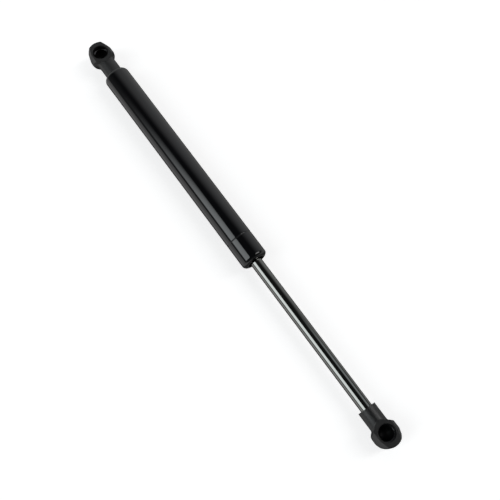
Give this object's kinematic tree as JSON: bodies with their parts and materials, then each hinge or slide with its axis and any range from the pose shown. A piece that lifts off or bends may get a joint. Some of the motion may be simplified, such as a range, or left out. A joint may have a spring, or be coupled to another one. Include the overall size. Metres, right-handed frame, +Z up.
{
  "type": "gas strut stay",
  "caption": "Gas strut stay: black cylinder tube, polished rod that slides and turns in it, and a plastic ball socket on each end.",
  "frame": {"origin": "on the surface that the tube lies on, midway between the two ball centres", "axes": "+X along the strut towards the rod's end, +Z up out of the socket mouths, +Y to the left of +X"},
  "size_m": [0.3348, 0.018, 0.018],
  "materials": {
    "tube_paint": "gloss black paint",
    "plug_steel": "turned, zinc plated",
    "o_ring_rubber": "matt, lightly greased",
    "socket_plastic": "moulded, fibre filled, satin black",
    "spring_wire": "drawn spring wire",
    "guide_plastic": "moulded",
    "bushing_bronze": "sintered bronze with a dry lining",
    "seal_rubber": "smooth, oiled",
    "washer_steel": "stamped",
    "ring_plastic": "machined",
    "rod_steel": "nitrided and polished dark",
    "piston_brass": "turned"
  },
  "bodies": {
    "barrel": {"cylinder_tube": "tube_paint", "base_plug": "plug_steel", "base_plug_o_ring": "o_ring_rubber", "tube_end_fitting": "socket_plastic", "tube_end_snap_ring": "spring_wire", "rod_guide": "guide_plastic", "guide_o_ring": "o_ring_rubber", "guide_bushing": "bushing_bronze", "wiper_ring": "seal_rubber", "seal_spacer": "washer_steel", "rod_seal": "seal_rubber", "backing_washer": "washer_steel"},
    "ring": {"piston_ring": "ring_plastic"},
    "rod": {"piston_rod": "rod_steel", "piston_front_washer": "washer_steel", "piston": "piston_brass", "orifice_disc": "washer_steel", "piston_rear_washer": "washer_steel", "rod_end_fitting": "socket_plastic", "rod_end_snap_ring": "spring_wire"}
  },
  "joints": [
    {"name": "rod_slide", "type": "slide", "parent": "barrel", "child": "ring", "axis": [-1, 0, 0], "range_m": [0, 0.105], "stiffness_N_per_m": 5, "springref_m": -0.3},
    {"name": "rod_turn", "type": "hinge", "parent": "ring", "child": "rod", "pos_m": [0, 0, 0.009], "axis": [1, 0, 0], "continuous": true}
  ]
}
